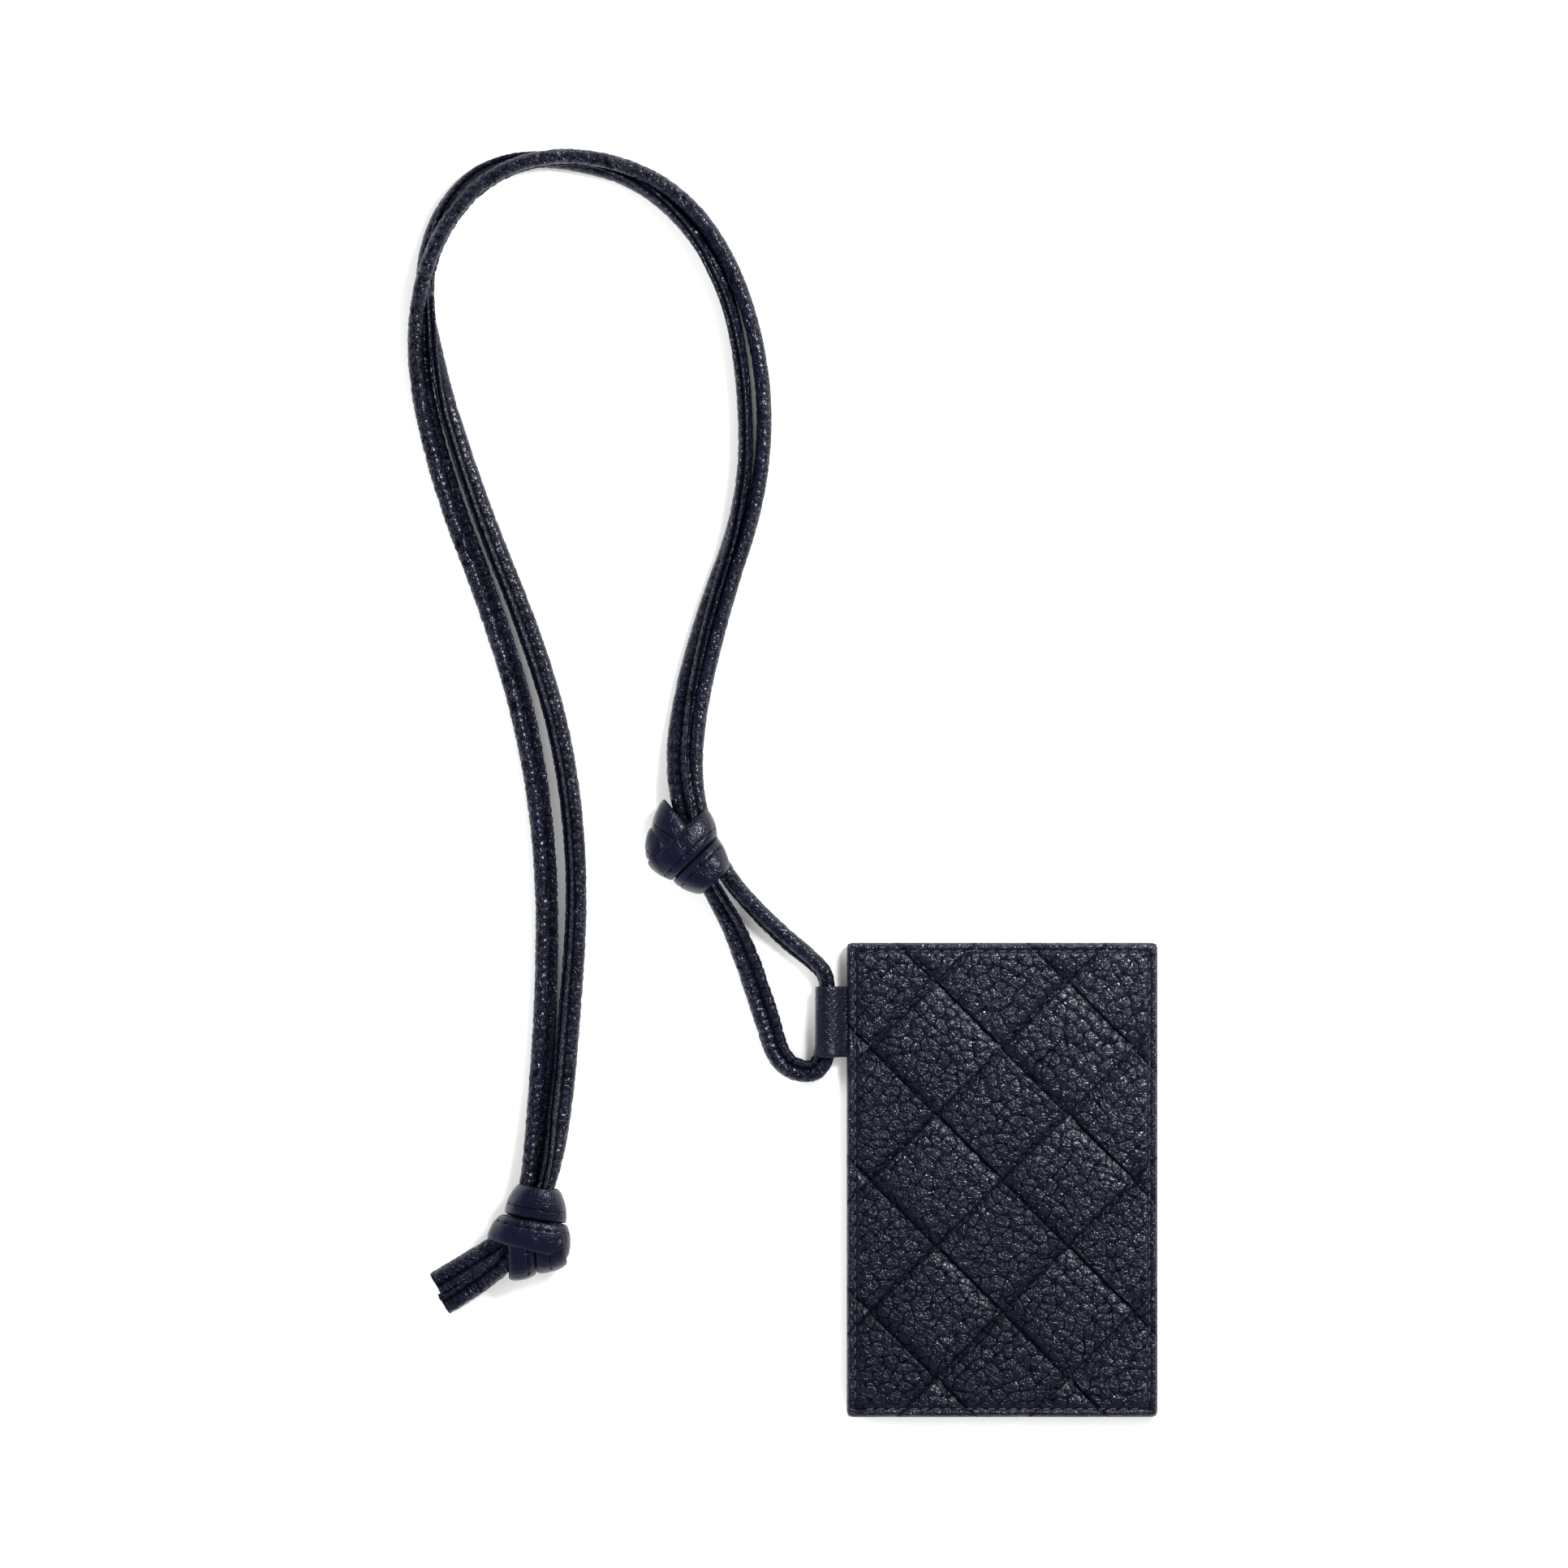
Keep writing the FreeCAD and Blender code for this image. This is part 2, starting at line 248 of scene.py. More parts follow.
def leather(name, gloss_high, rough_low, rough_high, wrinkle_size, wrinkle_bump, pore_bump):
    """Pebbled leather: creases get painted shade (a darker colour) and are duller, with wrinkles, spokes
    and pores by bump.
    """
    material, nodes, links = node_tree(name)
    tree = (nodes, links)
    shader = nodes["Principled BSDF"]
    shader.inputs["Specular Tint"].default_value = (0.86, 0.89, 1.0, 1.0)
    place = nodes.new("ShaderNodeTexCoord").outputs["Object"]
    crease = nodes.new("ShaderNodeAttribute")
    crease.attribute_name = "crease"
    cloud = noise(tree, place, 90.0, 4.0)
    # Painted shade: the crease attribute, plus a little random tone from the cloud, darkens the colour
    # towards the crease shade colour and dulls the shine.
    shade_and_tone = worked_out(tree, "MULTIPLY_ADD", cloud.outputs["Fac"], 0.35, crease.outputs["Fac"])

    colour = two_colours(tree, shade_and_tone, NAVY_LIGHT, NAVY_CREASE_SHADE, 0.1, 0.9)
    links.new(colour, shader.inputs["Base Color"])
    gloss = ranged(tree, shade_and_tone, from_min=0.15, to_min=gloss_high, to_max=0.04)
    links.new(gloss, shader.inputs["Specular IOR Level"])
    rough = ranged(tree, shade_and_tone, to_min=rough_low, to_max=rough_high)
    links.new(rough, shader.inputs["Roughness"])

    bend = noise(tree, place, 500.0)
    pore = noise(tree, place, 2600.0, 3.0)
    lines = bump(tree, wrinkle_lines(tree, place, bend, wrinkle_size), wrinkle_bump, 0.00012)
    spokes = bump(tree, spoke_waves(tree, bend), 0.45, 0.00012, lines)
    pores = bump(tree, pore.outputs["Fac"], pore_bump, 0.00008, spokes)
    links.new(pores, shader.inputs["Normal"])
    return material


def woven_cloth(name, dark, light, thread_size):
    """A fine plain weave: two crossed waves make the threads."""
    material, nodes, links = node_tree(name)
    tree = (nodes, links)
    shader = nodes["Principled BSDF"]
    shader.inputs["Roughness"].default_value = 0.8
    place = nodes.new("ShaderNodeTexCoord").outputs["Object"]
    threads = []
    for direction in ("X", "Y"):
        wave = nodes.new("ShaderNodeTexWave")
        wave.bands_direction = direction
        wave.inputs["Scale"].default_value = 0.3 / thread_size
        wave.inputs["Distortion"].default_value = 0.6
        links.new(place, wave.inputs["Vector"])
        threads.append(wave.outputs["Fac"])
    cross = worked_out(tree, "MULTIPLY", *threads)
    links.new(two_colours(tree, cross, dark, light), shader.inputs["Base Color"])
    links.new(bump(tree, cross, 0.5, 0.0001), shader.inputs["Normal"])
    return material


def twisted_thread(name, dark, light):
    """Waxed sewing thread: a slanting twist and a soft shine."""
    material, nodes, links = node_tree(name)
    tree = (nodes, links)
    shader = nodes["Principled BSDF"]
    shader.inputs["Roughness"].default_value = 0.5
    twist = nodes.new("ShaderNodeTexWave")
    twist.bands_direction = "DIAGONAL"
    twist.inputs["Scale"].default_value = 900.0
    twist.inputs["Distortion"].default_value = 1.0
    links.new(nodes.new("ShaderNodeTexCoord").outputs["Object"], twist.inputs["Vector"])
    colour = two_colours(tree, twist.outputs["Fac"], dark, light)
    links.new(colour, shader.inputs["Base Color"])
    links.new(bump(tree, twist.outputs["Fac"], 0.5, 0.00008), shader.inputs["Normal"])
    return material


# The paler navy is the leather's own colour; the darker navy is painted shade, reached at the bottom of
# creases.
NAVY_CREASE_SHADE = (0.0008, 0.0011, 0.0034)
NAVY_LIGHT = (0.0040, 0.0053, 0.0150)
grained = leather("grained_navy_leather", 0.85, 0.21, 0.48, 0.0012, 0.60, 0.14)
strap = leather("tab_navy_leather", 0.55, 0.30, 0.50, 0.0009, 0.50, 0.30)
rolled = leather("cord_navy_leather", 0.62, 0.25, 0.45, 0.0010, 0.80, 0.22)
smooth = leather("knot_navy_leather", 0.36, 0.25, 0.45, 0.0009, 0.35, 0.60)
edges = leather("painted_edge_leather", 0.40, 0.50, 0.70, 0.0006, 0.25, 0.45)
lining = woven_cloth("lining_cloth", (0.008, 0.009, 0.014), (0.030, 0.033, 0.048), 0.0003)
backing = woven_cloth("backing_cloth", (0.006, 0.007, 0.010), (0.020, 0.022, 0.032), 0.0004)
thread = twisted_thread("navy_thread", (0.012, 0.014, 0.024), (0.040, 0.045, 0.068))


# ---------------------------------------------------------------- cord

# Control points of the cord's two free lines. After each point comes how far the sewn edge leans
# there, in degrees: 0 is to the left of the way the cord runs, 90 straight up, -90 straight down.
# Last comes how much of the edge's width stands out there, for it is folded in the tab and knots.
# The first line leaves the tab at its top, goes through both knots, and ends in the upper tail.
OUTER_ROUTE = [
    (-0.0385, 0.0387, 0.0034, -60, 0.15), (-0.0385, 0.0490, 0.0034, -60, 0.25),
    (-0.0410, 0.0529, 0.0032, -55, 0.60), (-0.0480, 0.0588, 0.0032, -50, 0.75),
    (-0.0560, 0.0660, 0.0036, -55, 0.62), (-0.0645, 0.0760, 0.0065, -60, 0.70),
    (-0.0712, 0.0920, 0.0065, -80, 0.80), (-0.0711, 0.1120, 0.0044, -90, 0.80),
    (-0.0641, 0.1410, 0.0036, -90, 0.80), (-0.0547, 0.1695, 0.0036, -90, 0.80),
    (-0.0541, 0.1985, 0.0036, -90, 0.80), (-0.0627, 0.2268, 0.0040, -75, 0.75),
    (-0.0780, 0.2448, 0.0054, -60, 0.60), (-0.1015, 0.2519, 0.0063, -60, 0.45),
    (-0.1225, 0.2464, 0.0064, -65, 0.45), (-0.1361, 0.2290, 0.0064, -65, 0.45),
    (-0.1412, 0.2035, 0.0048, -35, 0.85), (-0.1346, 0.1715, 0.0028, -20, 1.00),
    (-0.1224, 0.1400, 0.0025, -15, 1.00), (-0.1136, 0.1120, 0.0024, -15, 1.00),
    (-0.1086, 0.0800, 0.0024, -15, 0.88), (-0.1085, 0.0465, 0.0024, -15, 0.85),
    (-0.1108, 0.0145, 0.0030, -15, 1.05), (-0.1122, -0.0020, 0.0065, -15, 0.80),
    (-0.1160, -0.0125, 0.0062, 25, 0.80), (-0.1230, -0.0172, 0.0034, 18, 1.10),
    (-0.1353, -0.0245, 0.0024, 15, 1.15),
]
# The second line leaves the tab at its foot and ends in the lower tail.
INNER_ROUTE = [
    (-0.0385, 0.0387, 0.0034, 150, 0.15), (-0.0377, 0.0254, 0.0033, 155, 0.75),
    (-0.0508, 0.0260, 0.0024, 162, 0.95), (-0.0555, 0.0408, 0.0020, 162, 1.15),
    (-0.0597, 0.0533, 0.0020, 158, 1.15), (-0.0633, 0.0630, 0.0026, 140, 1.00),
    (-0.0692, 0.0740, 0.0065, 120, 0.80), (-0.0758, 0.0920, 0.0065, 145, 1.15),
    (-0.0769, 0.1090, 0.0024, 140, 1.20), (-0.0704, 0.1360, 0.0020, 115, 1.00),
    (-0.0588, 0.1660, 0.0020, 85, 1.00), (-0.0590, 0.1975, 0.0020, 82, 0.95),
    (-0.0649, 0.2235, 0.0020, 70, 0.80), (-0.0815, 0.2432, 0.0020, 90, 0.70),
    (-0.1020, 0.2498, 0.0020, 125, 0.50), (-0.1216, 0.2497, 0.0020, 100, 0.55),
    (-0.1340, 0.2380, 0.0020, 88, 0.85), (-0.1389, 0.2205, 0.0020, 40, 0.55),
    (-0.1350, 0.2030, 0.0020, 95, 0.90), (-0.1317, 0.1895, 0.0020, 122, 1.00),
    (-0.1223, 0.1620, 0.0020, 130, 1.05), (-0.1099, 0.1320, 0.0020, 140, 1.00),
    (-0.1020, 0.1040, 0.0020, 138, 0.92), (-0.0991, 0.0720, 0.0020, 136, 0.85),
    (-0.1010, 0.0405, 0.0020, 140, 1.00), (-0.1034, 0.0145, 0.0026, 135, 1.10),
    (-0.1070, -0.0020, 0.0065, 110, 0.80), (-0.1155, -0.0185, 0.0060, 165, 0.80),
    (-0.1212, -0.0244, 0.0028, 160, 0.90), (-0.1322, -0.0314, 0.0020, 160, 0.90),
]

BEAD_RADIUS = 0.00180
EDGE_ROOT = 1.3 * MM
RING_STEP = 0.00030
SEWN_PITCH = 0.0026
CORD_PEBBLE = 1.8 * MM
CORD_FOLD = 4.2 * MM
FLOOR_PLAY = 0.05 * MM


def read_line(name, route, closed=False):
    """The points of a smooth NURBS line, with the route's points as its control points."""
    curve = bpy.data.curves.new(name, "CURVE")
    curve.dimensions = "3D"
    spline = curve.splines.new("NURBS")
    spline.points.add(len(route) - 1)
    for point, place in zip(spline.points, route):
        point.co = (place[0], place[1], place[2], 1.0)
    spline.order_u = 3
    spline.use_endpoint_u = not closed
    spline.use_cyclic_u = closed
    spline.resolution_u = 48
    holder = bpy.data.objects.new(name, curve)
    mesh = bpy.data.meshes.new_from_object(holder)
    line = np.array([vertex.co for vertex in mesh.vertices])
    bpy.data.meshes.remove(mesh)
    bpy.data.objects.remove(holder)
    bpy.data.curves.remove(curve)
    return line


def along_line(line):
    """Length along the line at each of its points."""
    return np.concatenate([[0.0], np.cumsum(np.linalg.norm(np.diff(line, axis=0), axis=1))])


def even_points(line, step):
    """The same line with its points evenly apart, and each point's share of the way."""
    length = along_line(line)
    spots = np.linspace(0.0, length[-1], int(length[-1] / step) + 1)
    share = np.interp(spots, length, np.linspace(0.0, 1.0, len(line)))
    points = np.stack([np.interp(spots, length, line[:, axis]) for axis in range(3)], axis=1)
    return points, spots, share


def cord_section():
    """The sewn cord's section: a round bead with a flat sewn edge that has two lips.
    Gives each point's place across, its place through, and its painted shade, which is dark at the sewn
    edge's root and in the gap between its lips."""
    bead = [math.radians(angle) for angle in range(38, 323, 12)]
    points = [(BEAD_RADIUS * math.cos(a), BEAD_RADIUS * math.sin(a), 0.0) for a in bead]
    edge = [
        # The third number of each point is painted shade: dark at the edge's root and in the gap between
        # the lips.
        (2.05, 0.66, 0.9), (2.45, 0.78, 0.3), (2.95, 0.95, 0.0), (3.55, 1.10, 0.0),
        (3.85, 1.05, 0.0), (4.00, 0.80, 0.0), (3.85, 0.48, 0.3),
    ]
    points += [(a * MM, -b * MM, crease) for a, b, crease in edge]
    points += [(3.3 * MM, -0.1 * MM, 1.0), (3.3 * MM, 0.1 * MM, 1.0)]
    points += [(a * MM, b * MM, crease) for a, b, crease in reversed(edge)]
    return np.array(points)


def cord_ways(line_points, lean):
    """The ways across and through the cord at each point; lean turns its sewn edge."""
    ahead = unit(np.gradient(line_points, axis=0))
    left = unit(np.cross(np.broadcast_to(UP, ahead.shape), ahead))
    rise = np.cross(ahead, left)
    edge_way = np.cos(lean)[:, None] * left + np.sin(lean)[:, None] * rise
    return edge_way, np.cross(ahead, edge_way)


def cord_grain(section, spots, rough_grain, seed):
    """Pebbles and cross folds on the cord: how far they raise it, and the painted shade in their
    creases.
    """
    angle = np.arctan2(section[:, 1], section[:, 0])[None, :] * BEAD_RADIUS
    lengthwise = spots[:, None] + 0.5 * MM * waves(angle * 2.0, seed + 1, (0.004, 0.0027))
    cells, middle, _ = pebbles(angle * 0.60 + 0.01, lengthwise, CORD_PEBBLE, seed)
    dome = 0.45 * np.clip(cells / 0.35, 0.0, 1.0) + 0.55 * np.clip(1.0 - (middle / 0.8) ** 2, 0, 1)
    folds, _, _ = pebbles(angle * 0.22 + 0.02, lengthwise + angle * 0.3, CORD_FOLD, seed + 5)
    folds = np.clip(1.0 - folds / 0.075, 0.0, 1.0)
    height = rough_grain[:, None] * (0.30 * (dome - 0.6) - 0.20 * folds) * MM
    # Painted shade in the gaps between pebbles and in the cross folds.
    marks = np.maximum(np.clip(1.0 - cells / 0.12, 0.0, 1.0), 0.9 * folds)
    return height, np.minimum(rough_grain, 1.0)[:, None] * marks


def cord_rings(centres, spots, lean, flange, rough_grain, seed):
    """Points of the cord's rings and their painted shade in creases. Flange is the edge's share of full
    width.
    """
    section = cord_section()
    edge_way, side_way = cord_ways(centres, lean)
    across = section[:, 0][None, :] * np.ones((len(centres), 1))
    through = section[:, 1][None, :] * np.ones((len(centres), 1))
    crease = section[:, 2][None, :] * np.ones((len(centres), 1))
    across = np.where(across > EDGE_ROOT, EDGE_ROOT + (across - EDGE_ROOT) * flange[:, None], across)
    dimple = 0.5 + 0.5 * np.cos(2 * math.pi * spots / SEWN_PITCH)
    sewn = (section[:, 0] > 1.9 * MM) & (section[:, 0] < 2.6 * MM)
    through = through * (1.0 - 0.35 * dimple[:, None] * sewn[None, :])
    grain, marks = cord_grain(section, spots, rough_grain, seed)
    swell = 1.0 + grain / np.maximum(np.hypot(across, through), 1.0 * MM)
    offset = (across * swell)[..., None] * edge_way[:, None, :]
    offset = offset + (through * swell)[..., None] * side_way[:, None, :]
    return centres[:, None, :] + offset, np.maximum(crease, marks)


def tube_faces(rings, count, first=0, closed=False):
    """Quads between rings of count points each; the ends of an open tube get flat faces."""
    faces = []
    last = rings if closed else rings - 1
    for ring in range(last):
        here = first + ring * count
        there = first + ((ring + 1) % rings) * count
        for spot in range(count):
            after = (spot + 1) % count
            faces.append((here + spot, here + after, there + after, there + spot))
    if not closed:
        faces.append(tuple(first + spot for spot in reversed(range(count))))
        faces.append(tuple(first + (rings - 1) * count + spot for spot in range(count)))
    return faces


def make_cord(name, route, nodes, seed, grain_share):
    """One free line of the cord as a mesh tube round its NURBS line."""
    points, spots, share = even_points(read_line(name + "_line", route), RING_STEP)
    marks = (np.arange(len(route)) - 0.5) / (len(route) - 2)
    lean = np.radians(np.interp(share, marks, [place[3] for place in route]))
    flange = np.interp(share, marks, [place[4] for place in route])
    grain = np.interp(share, marks, grain_share)
    rings, crease = cord_rings(points, spots, lean, flange, grain, seed)
    height = rings[..., 2]
    pressed = FLOOR_PLAY + 0.1 * (height - FLOOR_PLAY)
    rings[..., 2] = np.maximum(np.where(height < FLOOR_PLAY, pressed, height), 0.0)
    faces = tube_faces(rings.shape[0], rings.shape[1])
    piece = finish_piece(name, rings.reshape(-1, 3), faces, rolled, "lanyard",
                         nodes, crease.reshape(-1))
    return piece, points


# ---------------------------------------------------------------- knots

KNOT_LEVEL = 6.2 * MM
EDGE_POINTS = 12


def edge_loop(start, end, half_height):
    """The edge of a turn: a closed loop in an upright plane over start and end and back below."""
    start = np.array([*start, KNOT_LEVEL])
    end = np.array([*end, KNOT_LEVEL])
    middle = (start + end) / 2
    half = (end - start) / 2
    route = []
    for step in range(EDGE_POINTS):
        spot = 2 * math.pi * (step + 0.5) / EDGE_POINTS
        out = math.copysign(abs(math.cos(spot)) ** 0.75, math.cos(spot)) * 1.03
        rise = math.copysign(abs(math.sin(spot)) ** 0.90, math.sin(spot)) * 1.05
        route.append(middle + out * half + UP * rise * half_height)
    return read_line("knot_edge_line", route, closed=True)[::3]


def wrap_skin(top, width, spots, sewn_at, seed):
    """How far a turn's outer side stands out, and its painted shade, dark in the sewn groove and at both
    rims where the band turns under. Top goes from -1 at one edge to 1 at the other."""
    rim = np.maximum(1.0 - np.abs(top) ** 6, 0.0)[None, :] ** 0.5
    from_seam = width * (1.0 - top[None, :]) / 2 - sewn_at
    seam = np.exp(-(from_seam / (0.24 * MM)) ** 2)
    stitch = smooth_step(np.cos(2 * math.pi * spots / SEWN_PITCH + seed), -0.6, 0.1)
    folds = waves(spots + 0.3 * from_seam, seed, (0.0083, 0.0051, 0.0034))
    rise = (0.70 * rim + 0.50 * (1.0 - top[None, :] ** 2) + 0.05 * folds * rim) * MM
    rise = rise - (0.40 - 0.22 * stitch) * MM * seam * rim
    rise = rise - 0.12 * MM * smooth_step(-from_seam, 0.0, 0.5 * MM) * rim
    # Painted shade: dark in the sewn groove, lighter on the stitches, and dark at both rims of the band.
    return rise, np.maximum(seam * (0.9 - 0.4 * stitch), 1.2 - 1.6 * rim)


def wrap(first_edge, second_edge, half_height, sewn_at, seed):
    """One flattened turn of the cord round a knot: a band between its two edges. Each edge goes
    from one place in plan to another. Sewn_at is how far the sewn line is from the second edge."""
    low_line = edge_loop(*first_edge, half_height)
    high_line = edge_loop(*second_edge, half_height)
    centres = (low_line + high_line) / 2
    ahead = unit(np.roll(centres, -1, axis=0) - np.roll(centres, 1, axis=0))
    width = np.linalg.norm(high_line - low_line, axis=1)[:, None]
    outward = unit(np.cross(high_line - low_line, ahead))
    if ((centres - centres.mean(axis=0)) * outward).sum() < 0:
        outward = -outward
    top = np.sin(np.linspace(-math.pi / 2, math.pi / 2, 41))
    rise, crease = wrap_skin(top, width, along_line(centres)[:, None], sewn_at, seed)
    under = top[1:-1][::-1][::4]
    drop = -0.7 * MM * np.maximum(1.0 - np.abs(under) ** 6, 0.0)[None, :] ** 0.5 * np.ones_like(width)
    share = (np.concatenate([top, under]) + 1.0) / 2
    rings = low_line[:, None] + share[None, :, None] * (high_line - low_line)[:, None]
    rings = rings + np.hstack([rise, drop])[..., None] * outward[:, None]
    return rings, np.hstack([crease, np.zeros_like(drop)])


def make_knot(name, node, wraps, core, seed):
    """A knot: its turns over a core, in one piece."""
    all_points = []
    all_faces = []
    all_crease = []
    first = 0
    for number, turn in enumerate(wraps):
        rings, crease = wrap(*turn, seed=seed + number)
        count, around = crease.shape
        all_points.append(rings.reshape(-1, 3))
        all_crease.append(crease.reshape(-1))
        all_faces += tube_faces(count, around, first, closed=True)
        first += count * around
    points, faces, crease = knot_core(core, first)
    all_points.append(points)
    all_faces += faces
    all_crease.append(crease)
    points = np.vstack(all_points)
    points[:, 2] = np.maximum(points[:, 2], 0.0)
    return finish_piece(name, points, all_faces, smooth, "lanyard", [node],
                        np.concatenate(all_crease))


def knot_core(core, first):
    """The leather seen between a knot's turns: a rounded body with folds, painted darker all over as
    shade between the turns.
    """
    x, y, z, half_x, half_y, half_z, turn = core
    rows = 24
    columns = 48
    points = []
    for row in range(rows + 1):
        fall = math.pi * row / rows
        for column in range(columns):
            round_about = 2 * math.pi * column / columns
            fold = 1.0 + 0.03 * math.sin(3 * round_about + 4 * fall)
            points.append((
                half_x * fold * math.sin(fall) * math.cos(round_about),
                half_y * fold * math.sin(fall) * math.sin(round_about),
                half_z * math.cos(fall),
            ))
    points = np.array(points)
    angle = math.radians(turn)
    turned = points.copy()
    turned[:, 0] = points[:, 0] * math.cos(angle) - points[:, 1] * math.sin(angle)
    turned[:, 1] = points[:, 0] * math.sin(angle) + points[:, 1] * math.cos(angle)
    turned += np.array([x, y, z])
    faces = tube_faces(rows + 1, columns, first)
    # Painted shade: the whole core is painted as if it sat in a crease.
    return turned, faces, np.full(len(turned), 0.6)


# ---------------------------------------------------------------- pouch

back_low, back_high = low_high("back_panel")
strip_low, strip_high = low_high("falling_strip_3")
CENTRE = (back_low + back_high)[:2] / 2
HALF = (back_high - back_low)[:2] / 2
CORNER = 1.4 * MM
PITCH = 22.8 * MM
STEP = (strip_high[2] - strip_low[2]) / 2
WEAVE_LOW = strip_low[2] + STEP
FINE = 0.25 * MM
COARSE = 2.0 * MM
STRIP_REACH = 72 * MM
STRIP_GAP = 0.03 * MM
STRIP_COLUMNS = 92
DIVE_LENGTH = 1.0 * MM
STRIP_SKIN = 0.62 * MM
SEAM_INSET = 2.0 * MM
STITCH_PITCH = 2.7 * MM
STITCH_END = 0.95 * MM
STITCH_HALF = 0.98 * MM
STITCH_RADIUS = 0.24 * MM
STITCH_RINGS = 9
STITCH_AROUND = 8


def edge_distance(x, y):
    """How far inside the pouch's rounded outline a point is, and the way to the edge."""
    reach_x = np.abs(x) - (HALF[0] - CORNER)
    reach_y = np.abs(y) - (HALF[1] - CORNER)
    out_x = np.maximum(reach_x, 0.0)
    out_y = np.maximum(reach_y, 0.0)
    far = np.hypot(out_x, out_y)
    inside = np.minimum(np.maximum(reach_x, reach_y), 0.0)
    distance = CORNER - far - inside
    way_x = np.where(far > 0, out_x / np.maximum(far, 1e-12), 0.0) * np.sign(x)
    way_y = np.where(far > 0, out_y / np.maximum(far, 1e-12), 0.0) * np.sign(y)
    return distance, way_x, way_y


def strip_edge_distance(across, row):
    """How far a place is from the nearer long edge of its strip."""
    return PITCH / 2 - np.abs(across - (row + 0.5) * PITCH)


def dive_distance(along):
    """How far a place is from where its strip goes over or under the next one."""
    share = along / PITCH - np.floor(along / PITCH)
    return np.minimum(share, 1.0 - share) * PITCH


def strip_over(along, row):
    """1 where a strip runs over the others, 0 where it runs under them, and smooth between."""
    over = (np.floor(along / PITCH) + row) % 2 == 1
    signed = np.where(over, dive_distance(along), -dive_distance(along))
    return 0.5 + 0.5 * np.tanh((signed - DIVE_LENGTH) / DIVE_LENGTH)


def strip_height(along, across, row, x, y):
    """Height of a strip's upper skin, without its grain."""
    inside, _, _ = edge_distance(x, y)
    from_edge = strip_edge_distance(across, row)
    squeeze = 0.55 + 0.45 * smooth_step(inside, 1.5 * MM, 4.5 * MM)
    height = WEAVE_LOW + STEP * squeeze * strip_over(along, row)
    height -= 0.30 * MM * np.clip(1.0 - dive_distance(along) / (8.0 * MM), 0.0, 1.0) ** 2
    height -= 0.12 * MM * np.clip(1.0 - from_edge / (6.0 * MM), 0.0, 1.0) ** 2
    height -= 0.45 * MM * np.clip(1.0 - from_edge / (0.70 * MM), 0.0, 1.0) ** 2
    height -= 0.38 * MM * np.exp(-((inside - SEAM_INSET) / (0.42 * MM)) ** 2)
    height -= 0.75 * MM * np.clip(1.0 - inside / (0.9 * MM), 0.0, 1.0) ** 2
    return height


def to_strip(x, y, angle):
    along = x * math.cos(angle) + y * math.sin(angle)
    across = -x * math.sin(angle) + y * math.cos(angle)
    return along, across


def front_height(x, y):
    """Height of the woven front at a place, from whichever strip is on top."""
    best = np.full(np.shape(x), -1.0)
    for angle in (-math.pi / 4, math.pi / 4):
        along, across = to_strip(x, y, angle)
        row = np.floor(across / PITCH)
        best = np.maximum(best, strip_height(along, across, row, x, y))
    return best


def strip_stations(row, reach):
    """Places along a strip: close together where it shows, and far apart where it is hidden."""
    places = [-reach]
    while places[-1] < reach:
        here = places[-1]
        near = dive_distance(here)
        hidden = (math.floor(here / PITCH) + row) % 2 == 0 and near > 3.0 * MM
        places.append(here + (COARSE if hidden else FINE))
    return np.array(places)


def with_lower_skin(points, faces, crease, thickness):
    """Close an open skin with a second one straight below it and walls round its borders."""
    count = len(points)
    below = points - thickness * UP
    sides = np.concatenate([faces[:, [spot, (spot + 1) % 4]] for spot in range(4)])
    ordered = np.sort(sides, axis=1)
    _, where, times = np.unique(ordered, axis=0, return_index=True, return_counts=True)
    border = sides[where[times == 1]]
    walls = np.stack([border[:, 1], border[:, 0], border[:, 0] + count, border[:, 1] + count], axis=1)
    all_faces = np.vstack([faces, faces[:, ::-1] + count, walls])
    return np.vstack([points, below]), all_faces.tolist(), np.concatenate([crease, crease])


def strip_relief(x, y, along, across, row, seed, fold):
    """A strip's pebbled upper skin: its height, its painted shade, and its spokes."""
    inside = np.maximum(edge_distance(x, y)[0], 0.0)
    dome, gap_shade, spoke = grain_of(across + 0.11, along + 0.13, seed)
    patch = 0.5 + 0.5 * waves(x * 0.7 + y * 0.9, 5, (0.071, 0.043, 0.029))
    slope = 0.5 + x / 0.076 * 0.35 + y / 0.116 * 0.35
    strength = (0.28 + 0.14 * np.clip(slope, 0, 1) + 0.06 * patch) * MM
    calm = 0.40 + 0.60 * smooth_step(inside, 2.2 * MM, 3.4 * MM)
    height = strip_height(along, across, row, x, y) + strength * calm * (dome - 0.75)
    # Painted shade along the strips' long edges where they meet, in the seam's groove and where a strip
    # dives under the next one.
    edge_shade = fold * np.clip(1.4 - strip_edge_distance(across, row) / (0.50 * MM), 0.0, 1.0)
    groove = 0.6 * np.exp(-((inside - SEAM_INSET) / (0.40 * MM)) ** 2)
    dive_shade = 0.45 * np.clip(1.0 - dive_distance(along) / (1.1 * MM), 0.0, 1.0)
    # Painted shade that grows towards the pouch's lower left, away from the key light.
    lower_left_shade = 0.30 * np.clip(0.75 - slope, 0.0, 1.0)
    crease = np.maximum(np.maximum(gap_shade * calm, edge_shade), np.maximum(groove, dive_shade)) + lower_left_shade
    return height, crease, spoke


